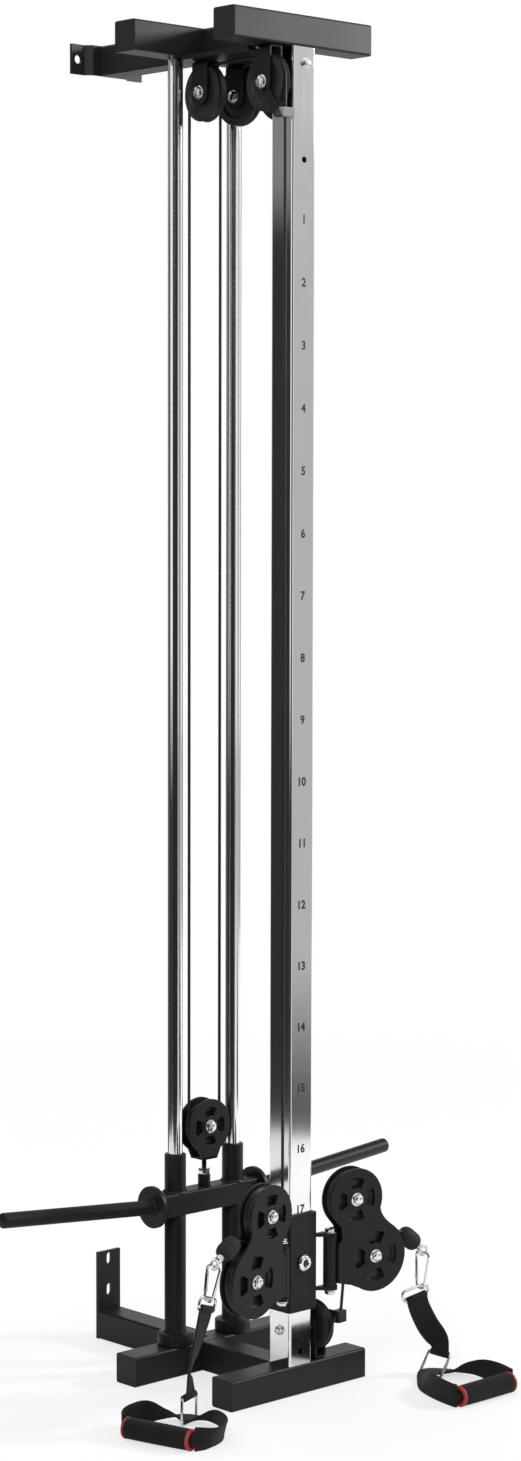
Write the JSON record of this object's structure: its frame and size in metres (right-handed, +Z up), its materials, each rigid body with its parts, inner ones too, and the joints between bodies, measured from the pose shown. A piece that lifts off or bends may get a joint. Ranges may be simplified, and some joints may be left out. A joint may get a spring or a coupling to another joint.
{
  "type": "wall pulley weight stack",
  "caption": "Wall pulley trainer: a square column carries a sliding pair of swivel pulley arms with hand loops, cabled over head pulleys to a plate carriage on guide rods.",
  "frame": {"origin": "on the floor under the axis of the square column, at the underside of the base front bar", "axes": "+Z up, +X to the right of someone who faces the column from the front, +Y from the column towards the wall"},
  "size_m": [0.8694, 0.7303, 2.2301],
  "materials": {
    "frame_coat": "satin black powder coat",
    "plate_coat": "satin black powder coat",
    "bright_chrome": "polished chrome",
    "pulley_plastic": "moulded black nylon",
    "cable_coat": "smooth black coating over steel cable",
    "stop_rubber": "matt black rubber",
    "webbing": "woven black webbing",
    "grip_foam": "closed-cell black foam"
  },
  "bodies": {
    "frame": {"base_frame": "frame_coat", "top_frame": "frame_coat", "column": "bright_chrome", "guide_rod_left": "bright_chrome", "guide_rod_right": "bright_chrome", "stop_tube_left": "frame_coat", "stop_tube_right": "frame_coat", "base_pulley_strap": "plate_coat", "cable_head_left": "cable_coat", "cable_head_right": "cable_coat", "cable_lift": "cable_coat", "cable_run_left": "cable_coat", "cable_run_right": "cable_coat", "top_pulley_rear_left_strap": "plate_coat", "top_pulley_front_left_strap": "plate_coat", "top_pulley_rear_right_strap": "plate_coat", "top_pulley_middle_right_strap": "plate_coat"},
    "weight_carriage": {"carriage_beam": "plate_coat", "plate_post_left": "plate_coat", "plate_post_right": "plate_coat", "lift_stem": "plate_coat", "lift_yoke": "plate_coat"},
    "lift_wheel": {"lift_pulley": "pulley_plastic"},
    "pulley_carriage": {"slider": "plate_coat", "hinge_pin_left": "bright_chrome", "hinge_pin_right": "bright_chrome"},
    "pull_pin": {"pull_pin": "bright_chrome"},
    "swivel_arm_right": {"arm_right": "plate_coat", "cable_arm_right": "cable_coat", "cable_stop_right": "stop_rubber", "swivel_eye_right": "bright_chrome"},
    "arm_pulley_upper_right": {"arm_pulley_upper_right": "pulley_plastic"},
    "arm_pulley_lower_right": {"arm_pulley_lower_right": "pulley_plastic"},
    "swivel_arm_left": {"arm_left": "plate_coat", "cable_arm_left": "cable_coat", "cable_stop_left": "stop_rubber", "swivel_eye_left": "bright_chrome"},
    "arm_pulley_upper_left": {"arm_pulley_upper_left": "pulley_plastic"},
    "arm_pulley_lower_left": {"arm_pulley_lower_left": "pulley_plastic"},
    "top_pulley_rear_left": {"top_pulley_rear_left": "pulley_plastic"},
    "top_pulley_front_left": {"top_pulley_front_left": "pulley_plastic"},
    "top_pulley_rear_right": {"top_pulley_rear_right": "pulley_plastic"},
    "top_pulley_middle_right": {"top_pulley_middle_right": "pulley_plastic"},
    "base_pulley": {"base_pulley": "pulley_plastic"},
    "handle_right": {"snap_hook_right": "bright_chrome", "upper_ring_right": "bright_chrome", "strap_right": "webbing", "lower_ring_right": "bright_chrome", "hand_loop_right": "webbing"},
    "grip_right": {"grip_right": "grip_foam"},
    "handle_left": {"snap_hook_left": "bright_chrome", "upper_ring_left": "bright_chrome", "strap_left": "webbing", "lower_ring_left": "bright_chrome", "hand_loop_left": "webbing"},
    "grip_left": {"grip_left": "grip_foam"}
  },
  "joints": [
    {"name": "lift", "type": "slide", "parent": "frame", "child": "weight_carriage", "axis": [0, 0, 1], "range_m": [0, 1.6], "deforming": ["cable_lift"]},
    {"name": "lift_pulley_spin", "type": "hinge", "parent": "weight_carriage", "child": "lift_wheel", "pos_m": [0, 0.211, 0.412], "axis": [0, 1, 0], "continuous": true},
    {"name": "carriage_slide", "type": "slide", "parent": "frame", "child": "pulley_carriage", "axis": [0, 0, 1], "range_m": [0, 1.6], "deforming": ["cable_run_left", "cable_run_right"]},
    {"name": "pull_pin", "type": "slide", "parent": "pulley_carriage", "child": "pull_pin", "axis": [0, -1, 0], "range_m": [0, 0.012], "stiffness_N_per_m": 600, "springref_m": -0.004},
    {"name": "arm_swivel_right", "type": "hinge", "parent": "pulley_carriage", "child": "swivel_arm_right", "pos_m": [0.054, -0.038, 0.217], "axis": [0, 0, 1], "range_deg": [-50, 20]},
    {"name": "arm_pulley_upper_right_spin", "type": "hinge", "parent": "swivel_arm_right", "child": "arm_pulley_upper_right", "pos_m": [0.0965, -0.04626, 0.316], "axis": [0.1908, 0.9816, 0], "continuous": true},
    {"name": "arm_pulley_lower_right_spin", "type": "hinge", "parent": "swivel_arm_right", "child": "arm_pulley_lower_right", "pos_m": [0.13351, -0.05346, 0.217], "axis": [0.1908, 0.9816, 0], "continuous": true},
    {"name": "arm_swivel_left", "type": "hinge", "parent": "pulley_carriage", "child": "swivel_arm_left", "pos_m": [-0.054, -0.038, 0.217], "axis": [0, 0, 1], "range_deg": [-20, 50]},
    {"name": "arm_pulley_upper_left_spin", "type": "hinge", "parent": "swivel_arm_left", "child": "arm_pulley_upper_left", "pos_m": [-0.09698, -0.04328, 0.316], "axis": [0.1219, -0.9925, 0], "continuous": true},
    {"name": "arm_pulley_lower_left_spin", "type": "hinge", "parent": "swivel_arm_left", "child": "arm_pulley_lower_left", "pos_m": [-0.1344, -0.04787, 0.217], "axis": [0.1219, -0.9925, 0], "continuous": true},
    {"name": "top_pulley_rear_left_spin", "type": "hinge", "parent": "frame", "child": "top_pulley_rear_left", "pos_m": [-0.03771, 0.16784, 2.122], "axis": [0.9969, -0.0789, 0], "continuous": true},
    {"name": "top_pulley_front_left_spin", "type": "hinge", "parent": "frame", "child": "top_pulley_front_left", "pos_m": [-0.05058, 0.00517, 2.122], "axis": [0.9969, -0.0789, 0], "continuous": true},
    {"name": "top_pulley_rear_right_spin", "type": "hinge", "parent": "frame", "child": "top_pulley_rear_right", "pos_m": [0.03757, 0.16782, 2.122], "axis": [0.9971, 0.0755, 0], "continuous": true},
    {"name": "top_pulley_middle_right_spin", "type": "hinge", "parent": "frame", "child": "top_pulley_middle_right", "pos_m": [0.04473, 0.07318, 2.122], "axis": [0.9971, 0.0755, 0], "continuous": true},
    {"name": "base_pulley_spin", "type": "hinge", "parent": "frame", "child": "base_pulley", "pos_m": [0.051, 0.001, 0.104], "axis": [0.9971, 0.0767, 0], "continuous": true},
    {"name": "handle_swing_right", "type": "hinge", "parent": "swivel_arm_right", "child": "handle_right", "pos_m": [0.23731, -0.07363, 0.20918], "axis": [-0.1908, -0.9816, 0], "range_deg": [0, 60]},
    {"name": "grip_spin_right", "type": "hinge", "parent": "handle_right", "child": "grip_right", "pos_m": [0.2016, -0.2483, 0.0173], "axis": [1, 0, 0], "continuous": true},
    {"name": "handle_swing_left", "type": "hinge", "parent": "swivel_arm_left", "child": "handle_left", "pos_m": [-0.22042, -0.05843, 0.25985], "axis": [-0.1219, 0.9925, 0], "range_deg": [0, 60]},
    {"name": "grip_spin_left", "type": "hinge", "parent": "handle_left", "child": "grip_left", "pos_m": [-0.3467, -0.07, 0.0173], "axis": [-0.2588, 0.9659, 0], "continuous": true}
  ],
  "couplings": [
    {"joint": "top_pulley_rear_left_spin", "follows": "lift", "rad_per_m": 23.095},
    {"joint": "top_pulley_front_left_spin", "follows": "lift", "rad_per_m": 23.095},
    {"joint": "top_pulley_rear_right_spin", "follows": "lift", "rad_per_m": 23.095},
    {"joint": "top_pulley_middle_right_spin", "follows": "lift", "rad_per_m": 23.095},
    {"joint": "base_pulley_spin", "follows": "lift", "rad_per_m": -25.566},
    {"joint": "arm_pulley_upper_left_spin", "follows": "lift", "rad_per_m": -23.095},
    {"joint": "arm_pulley_lower_right_spin", "follows": "lift", "rad_per_m": 19.493}
  ]
}
